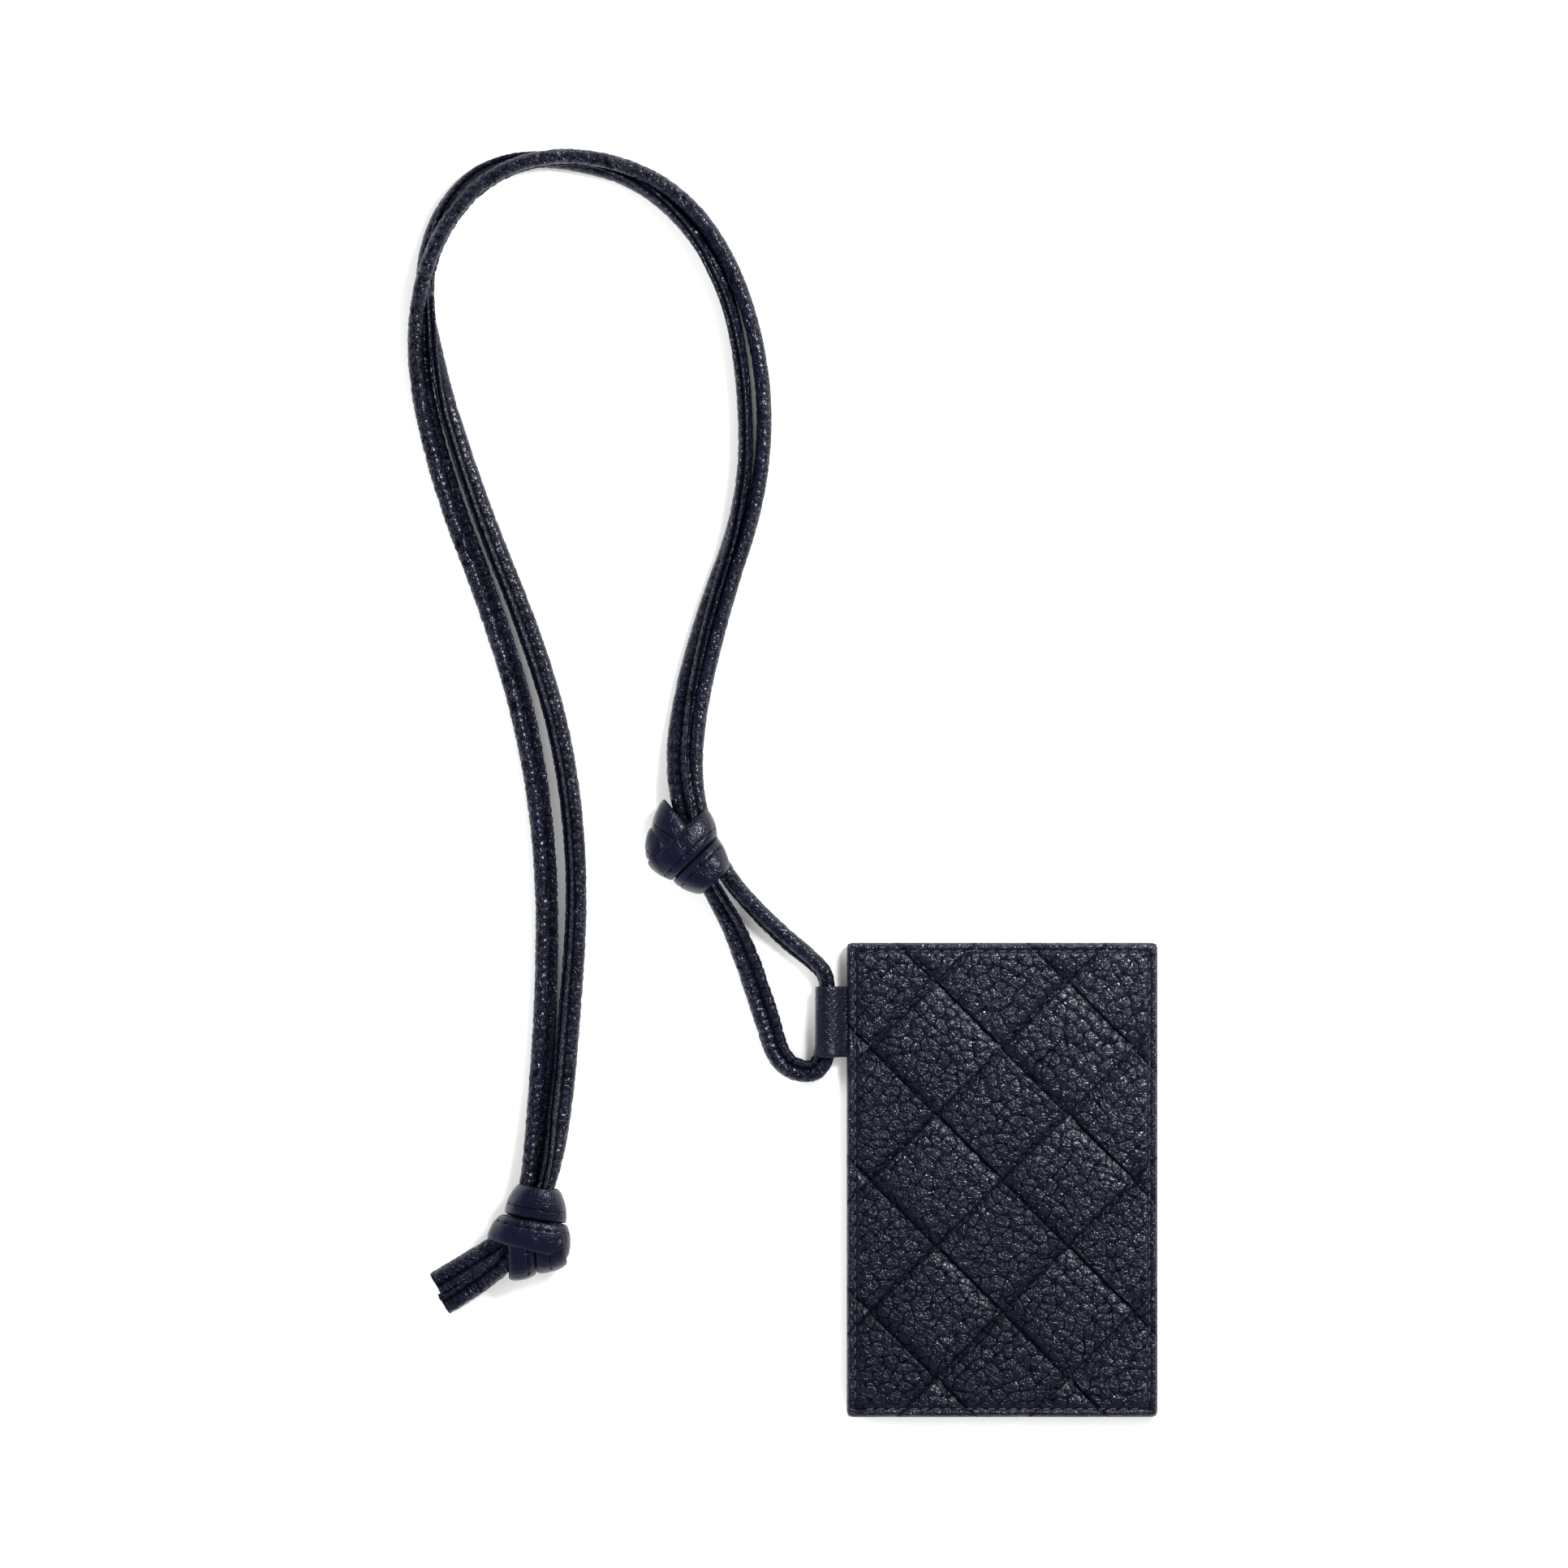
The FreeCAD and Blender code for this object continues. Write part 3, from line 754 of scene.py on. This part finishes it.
def make_strip(label, angle, row, seed, fold):
    """One strip of the weave as a continuous ribbon that goes over and under the others."""
    along = strip_stations(row, STRIP_REACH)
    across = np.linspace(row * PITCH + STRIP_GAP, (row + 1) * PITCH - STRIP_GAP, STRIP_COLUMNS)
    grid_along, grid_across = np.meshgrid(along, across, indexing="ij")
    x = grid_along * math.cos(angle) - grid_across * math.sin(angle)
    y = grid_along * math.sin(angle) + grid_across * math.cos(angle)
    inside, way_x, way_y = edge_distance(x, y)
    outside = inside < 0
    x = np.where(outside, x + inside * way_x, x)
    y = np.where(outside, y + inside * way_y, y)
    height, crease, spoke = strip_relief(x, y, *to_strip(x, y, angle), row, seed, fold)

    columns = len(across)
    keep = ~(outside[:-1, :-1] & outside[1:, :-1] & outside[:-1, 1:] & outside[1:, 1:])
    cell_row, cell_column = np.nonzero(keep)
    corner = cell_row * columns + cell_column
    faces = np.stack([corner, corner + columns, corner + columns + 1, corner + 1], axis=1)
    used, faces = np.unique(faces, return_inverse=True)
    faces = faces.reshape(-1, 4)
    points = np.stack([x + CENTRE[0], y + CENTRE[1], height], axis=-1).reshape(-1, 3)[used]
    points, faces, marks = with_lower_skin(points, faces, crease.reshape(-1)[used], STRIP_SKIN)
    ways = np.tile(spoke.reshape(-1, 3)[used], (2, 1))
    return finish_piece(label + "_leather", points, faces, grained, "pouch",
                        [label], marks, ways)


def make_front():
    for name, turn in (("falling", -1), ("rising", 1)):
        for number in range(1, 7):
            label = "%s_strip_%d" % (name, number)
            # How strong the painted shade along the strip edges is: stronger on the falling strips
            # because of how the key light falls on their edges.
            fold = 1.0 if turn < 0 else 0.45
            make_strip(label, turn * math.pi / 4, number - 4, 100 * turn + number + 200, fold)


def flat_grid(half, step):
    """A grid of points over a rectangle round the middle."""
    rows = max(2, int(2 * half[0] / step))
    columns = max(2, int(2 * half[1] / step))
    return np.meshgrid(np.linspace(-half[0], half[0], rows + 1),
                       np.linspace(-half[1], half[1], columns + 1), indexing="ij")


def round_corners(x, y, half, corner):
    """Pull the points in a rectangle's corners in, so that the corners are round."""
    reach_x = np.abs(x) - (half[0] - corner)
    reach_y = np.abs(y) - (half[1] - corner)
    far = np.hypot(np.maximum(reach_x, 0), np.maximum(reach_y, 0))
    pull = np.where((far > corner) & (reach_x > 0) & (reach_y > 0), corner / np.maximum(far, 1e-9), 1)
    x = np.sign(x) * np.where(pull < 1, half[0] - corner + reach_x * pull, np.abs(x))
    y = np.sign(y) * np.where(pull < 1, half[1] - corner + reach_y * pull, np.abs(y))
    return x, y


def grid_faces(rows, columns, first=0, flip=False):
    corner = np.arange(rows * columns).reshape(rows, columns)[:-1, :-1].reshape(-1) + first
    faces = np.stack([corner, corner + columns, corner + columns + 1, corner + 1], axis=1)
    if flip:
        faces = faces[:, ::-1]
    return faces.tolist()


def rim_loop(rows, columns):
    """Indices round the border of a grid, in order."""
    top = [(0, c) for c in range(columns)]
    right = [(r, columns - 1) for r in range(1, rows)]
    bottom = [(rows - 1, c) for c in range(columns - 2, -1, -1)]
    left = [(r, 0) for r in range(rows - 2, 0, -1)]
    return [r * columns + c for r, c in top + right + bottom + left]


def make_sheet_block(name, node, material, step, inset, corner, grain, grain_side):
    """A flat layer with softly rounded rims: two skins joined round the border."""
    low, high = low_high(node)
    half = (high - low)[:2] / 2 - inset
    middle = (high + low)[:2] / 2
    x, y = round_corners(*flat_grid(half, step), half, corner)
    rows, columns = x.shape
    inside = np.minimum(half[0] - np.abs(x), half[1] - np.abs(y))
    drop = min(0.35 * (high[2] - low[2]), 0.25 * MM)
    shoulder = drop * np.clip(1.0 - inside / (2.5 * drop), 0.0, 1.0) ** 2
    cells, _, _ = pebbles(x + 0.3, y + 0.3, 2.9 * MM, len(name))
    dome = np.clip(cells / 0.34, 0.0, 1.0)
    bumps = grain * (1.0 - dome * (2.0 - dome))
    groove = grain * 2.5 * np.exp(-((inside - SEAM_INSET) / (0.45 * MM)) ** 2)
    lower = low[2] + shoulder + (bumps + groove if grain_side < 0 else 0.0)
    upper = high[2] - shoulder - (bumps + groove if grain_side > 0 else 0.0)
    x = x + middle[0]
    y = y + middle[1]
    top = np.stack([x, y, upper * np.ones_like(x)], axis=-1).reshape(-1, 3)
    bottom = np.stack([x, y, lower * np.ones_like(x)], axis=-1).reshape(-1, 3)
    count = rows * columns
    faces = grid_faces(rows, columns) + grid_faces(rows, columns, count, flip=True)
    loop = rim_loop(rows, columns)
    for here, there in zip(loop, loop[1:] + loop[:1]):
        faces.append((here, there, there + count, here + count))
    # Painted shade in the gaps between pebbles; none where the layer has no grain.
    crease = np.clip(1.0 - cells / 0.16, 0.0, 1.0).reshape(-1) * (1.0 if grain else 0.0)
    return finish_piece(name, np.vstack([top, bottom]), faces, material, "pouch", [node],
                        np.concatenate([crease, crease]))


def make_layers():
    """The back leather, the linings, the cloth under the strips and the fillers in the seams."""
    make_sheet_block("back_leather", "back_panel", grained, 0.6 * MM, 0.0,
                     CORNER, 0.09 * MM, -1)
    make_sheet_block("back_lining_cloth", "back_lining", lining, 2 * MM, 0.35 * MM,
                     CORNER, 0.0, 1)
    make_sheet_block("front_lining_cloth", "front_lining", lining, 2 * MM, 0.35 * MM,
                     CORNER, 0.0, 1)
    make_sheet_block("front_backer_cloth", "front_backer", backing, 2 * MM,
                     0.3 * MM, CORNER, 0.0, 1)
    for node in ("welt_bottom", "welt_right", "welt_left_lower", "welt_left_upper"):
        make_sheet_block(node + "_leather", node, edges, 0.9 * MM, 0.1 * MM,
                         0.5 * MM, 0.0, 1)


def stitch_points(middle, lengthwise, slant):
    """Rings of one rounded stitch that sinks into the leather at both ends."""
    points = []
    for ring in range(STITCH_RINGS):
        share = ring / (STITCH_RINGS - 1) * 2 - 1
        radius = STITCH_RADIUS * math.sqrt(max(0.02, 1 - abs(share) ** 3))
        lift = 0.14 * MM * (1 - share * share) - 0.08 * MM
        spot = middle.copy()
        spot[lengthwise] += share * STITCH_HALF
        spot[1 - lengthwise] += share * slant * MM
        ground = front_height(np.array(spot[0] - CENTRE[0]), np.array(spot[1] - CENTRE[1]))
        for step in range(STITCH_AROUND):
            angle = 2 * math.pi * step / STITCH_AROUND
            point = spot.copy()
            point[1 - lengthwise] += radius * math.cos(angle)
            point[2] = float(ground) + lift + radius * math.sin(angle)
            points.append(point)
    return points


def make_stitches(node):
    """A row of stitches, along the CAD thread's row."""
    low, high = low_high(node)
    span = high - low
    lengthwise = 0 if span[0] > span[1] else 1
    count = int(round((span[lengthwise] - 2 * STITCH_END) / STITCH_PITCH)) + 1
    places = np.linspace(low[lengthwise] + STITCH_END, high[lengthwise] - STITCH_END, count)
    rng = np.random.default_rng(len(node))
    points = []
    faces = []
    for number, place in enumerate(places):
        slant = rng.uniform(-0.05, 0.05) + 0.10
        middle = (low + high) / 2
        middle[lengthwise] = place
        points += stitch_points(middle, lengthwise, slant)
        faces += tube_faces(STITCH_RINGS, STITCH_AROUND, number * STITCH_RINGS * STITCH_AROUND)
    return finish_piece(node + "_stitches", np.array(points), faces, thread, "pouch",
                        [node])


# ---------------------------------------------------------------- tab

TAB_HALF = 0.45 * MM
TAB_SPREAD = 0.52 * MM
TAB_NECK = 4.6 * MM


def tab_profile():
    """The folded strap's section: where its middle line runs, from one sewn leg to the other."""
    low, high = low_high("cord_tab")
    radius = (high[2] - low[2]) / 2
    axis = np.array([low[0] + radius, low[2] + radius])
    seam = high[0]
    leg = (strip_low[2] + back_high[2]) / 2
    ring = radius - TAB_HALF
    points = [(seam, leg - TAB_SPREAD), (axis[0] + TAB_NECK, leg - TAB_SPREAD)]
    for degrees in range(-48, -313, -12):
        angle = math.radians(degrees)
        points.append((axis[0] + ring * math.cos(angle), axis[1] + ring * math.sin(angle)))
    points += [(axis[0] + TAB_NECK, leg + TAB_SPREAD), (seam, leg + TAB_SPREAD)]
    return np.array(points), axis


def make_tab():
    """A strap folded round the cord, its ends rounded over and its foot slightly flared."""
    low, high = low_high("cord_tab")
    profile, axis = tab_profile()
    route = [(x, 0.0, z) for x, z in profile]
    line, spots, _ = even_points(read_line("tab_line", route), 0.35 * MM)
    ahead = unit(np.gradient(line, axis=0))
    outward = np.stack([-ahead[:, 2], np.zeros(len(ahead)), ahead[:, 0]], axis=1)
    facing = ((line - [axis[0], 0, axis[1]]) * outward).sum(axis=1)
    if facing[len(facing) // 2] < 0:
        outward = -outward
    stations = np.linspace(low[1] + 0.02 * MM, high[1] - 0.02 * MM, 56)
    points = []
    crease = []
    for y in stations:
        from_end = min(y - low[1], high[1] - y)
        thin = TAB_HALF * math.sqrt(max(0.08, 1 - max(0.0, 1 - from_end / TAB_HALF) ** 2))
        flare = 0.45 * MM * math.exp(-((y - low[1]) / (2.2 * MM)) ** 2)
        away = np.clip((axis[0] + 3.2 * MM - line[:, 0]) / (3 * MM), 0, 1)
        cells, _, _ = pebbles(spots + 0.05, np.full(len(spots), y) + 0.2, 1.6 * MM, 31)
        dome = np.clip(cells / 0.34, 0, 1)
        out = line + outward * (thin + flare * away + 0.07 * MM * (dome - 0.8))[:, None]
        back = line - outward * (thin - flare * away)[:, None]
        ring = np.vstack([out, back[::-1]])
        ring[:, 1] = y
        ring[:, 2] = np.maximum(ring[:, 2], 0.0)
        points.append(ring)
        # Weak painted shade in the gaps between pebbles.
        tab_crease_shade = 0.3 * np.clip(1 - cells / 0.16, 0, 1)
        crease.append(np.concatenate([tab_crease_shade, np.zeros(len(tab_crease_shade))]))
    faces = tube_faces(len(points), len(points[0]))
    return finish_piece("cord_tab_strap", np.vstack(points), faces, strap, "pouch",
                        ["cord_tab"], np.concatenate(crease))


# ---------------------------------------------------------------- build

# How strong the grain is at each of a route's points.
outer_grain = np.interp(np.arange(len(OUTER_ROUTE)), [0, 6, 8, 13, 17, 19, 26],
                        [0.9, 0.8, 0.75, 0.95, 1.0, 1.0, 0.7])
inner_grain = np.interp(np.arange(len(INNER_ROUTE)), [0, 3, 8, 12, 28], [0.8, 1.0, 0.9, 0.6, 0.8])
outer, outer_path = make_cord(
    "cord_outer", OUTER_ROUTE, ["cord_in_tab", "loop_upper", "strand_outer", "tail_upper"], 11,
    outer_grain)
inner, inner_path = make_cord(
    "cord_inner", INNER_ROUTE, ["loop_lower", "strand_inner", "tail_lower"], 23, inner_grain)

# Turns of each knot, innermost first: the two ends of its first edge, those of its second edge,
# its half height, and how far the sewn line is from the second edge.
POUCH_KNOT = [
    (((-0.0818, 0.0862), (-0.0725, 0.0785)), ((-0.0826, 0.0784), (-0.0760, 0.0740)), 0.0038, 0.0022),
    (((-0.0786, 0.0931), (-0.0690, 0.0815)), ((-0.0816, 0.0843), (-0.0735, 0.0775)), 0.0045, 0.0028),
    (((-0.0826, 0.0781), (-0.0690, 0.0908)), ((-0.0766, 0.0736), (-0.0663, 0.0838)), 0.0051, 0.0022),
    (((-0.0692, 0.0704), (-0.0632, 0.0757)), ((-0.0764, 0.0735), (-0.0662, 0.0837)), 0.0049, 0.0022),
]
END_KNOT = [
    (((-0.1168, -0.0080), (-0.1167, -0.0238)), ((-0.1106, -0.0080), (-0.1102, -0.0226)), 0.0041, 0.0018),
    (((-0.1040, -0.0100), (-0.1026, -0.0200)), ((-0.1108, -0.0080), (-0.1100, -0.0223)), 0.0040, 0.0036),
    (((-0.1138, -0.0009), (-0.1051, -0.0022)), ((-0.1174, -0.0080), (-0.1031, -0.0104)), 0.0050, 0.0025),
    (((-0.1217, -0.0145), (-0.1030, -0.0191)), ((-0.1181, -0.0084), (-0.1029, -0.0109)), 0.0051, 0.0019),
]
pouch_knot = make_knot("pouch_knot_turns", "pouch_knot", POUCH_KNOT,
                       (-0.0735, 0.0812, 0.0060, 0.0070, 0.0080, 0.0050, 21), 61)
end_knot = make_knot("end_knot_turns", "end_knot", END_KNOT,
                     (-0.1110, -0.0118, 0.0060, 0.0066, 0.0092, 0.0050, -3), 71)

make_layers()
make_front()
make_tab()
for row in ("thread_mouth", "thread_bottom", "thread_left", "thread_right"):
    make_stitches(row)


# ---------------------------------------------------------------- stage, light and camera

VIEW_CENTRE = (-0.0495, 0.0969)
VIEW_WIDTH = 0.3845
CAMERA_HEIGHT = 2.0
SENSOR_WIDTH = 36.0
FLOOR_HALF = 3.0
GLOW_REACH = 0.95
GLOW_HEIGHT = 0.38


def make_floor():
    """A plain pale floor."""
    corners = [(-1, -1), (1, -1), (1, 1), (-1, 1)]
    mesh = bpy.data.meshes.new("floor")
    mesh.from_pydata([(FLOOR_HALF * x, FLOOR_HALF * y, 0) for x, y in corners], [], [(0, 1, 2, 3)])
    material, nodes, _ = node_tree("pale_floor")
    shader = nodes["Principled BSDF"]
    shader.inputs["Base Color"].default_value = (0.95, 0.95, 0.95, 1.0)
    shader.inputs["Roughness"].default_value = 0.9
    shader.inputs["Specular IOR Level"].default_value = 0.0
    mesh.materials.append(material)
    floor = bpy.data.objects.new("floor", mesh)
    bpy.context.scene.collection.objects.link(floor)


def add_light(name, place, target, size, power, mirrored):
    """A soft lamp; one that is not mirrored lights the scene but leaves no shine on leather."""
    lamp = bpy.data.lights.new(name, "AREA")
    lamp.shape = "RECTANGLE"
    lamp.size = size[0]
    lamp.size_y = size[1]
    lamp.energy = power
    holder = bpy.data.objects.new(name, lamp)
    bpy.context.scene.collection.objects.link(holder)
    way = np.array(target) - np.array(place)
    holder.rotation_euler = Vector(way).to_track_quat("-Z", "Y").to_euler()
    holder.location = place
    holder.visible_glossy = mirrored
    holder.visible_camera = False


def make_lights():
    """A small key lamp, two soft fills and a low ring of wide lamps that glance off the leather."""
    add_light("key", (0.27, 0.37, 0.56), (-0.02, 0.05, 0.0), (0.18, 0.18), 5.3, True)
    add_light("left_fill", (-1.30, 0.25, 0.60), (-0.05, 0.08, 0.0), (0.8, 0.5), 17.0, False)
    add_light("front_fill", (0.05, -1.25, 0.60), (-0.05, 0.08, 0.0), (0.9, 0.5), 16.0, False)
    for number, (side_x, side_y) in enumerate(((-1, -1), (1, -1), (1, 1), (-1, 1)), start=1):
        place = (GLOW_REACH * side_x - 0.05, GLOW_REACH * side_y + 0.10, GLOW_HEIGHT)
        add_light("low_glow_%d" % number, place, (-0.05, 0.10, 0.0), (2.0, 0.34), 2.2, True)


def make_world():
    """Even pale light that leaves no shine."""
    world = bpy.data.worlds.new("studio")
    world.use_nodes = True
    background = world.node_tree.nodes["Background"]
    background.inputs["Color"].default_value = (1.0, 1.0, 1.0, 1.0)
    background.inputs["Strength"].default_value = 0.55
    world.cycles_visibility.glossy = False
    bpy.context.scene.world = world
    bpy.context.scene.view_settings.view_transform = "Standard"


def make_camera():
    """A camera straight above the object."""
    lens = bpy.data.cameras.new("camera")
    lens.sensor_width = SENSOR_WIDTH
    lens.lens = SENSOR_WIDTH * CAMERA_HEIGHT / VIEW_WIDTH
    camera = bpy.data.objects.new("camera", lens)
    camera.location = (VIEW_CENTRE[0], VIEW_CENTRE[1], CAMERA_HEIGHT)
    bpy.context.scene.collection.objects.link(camera)
    bpy.context.scene.camera = camera


make_floor()
make_lights()
make_world()
make_camera()
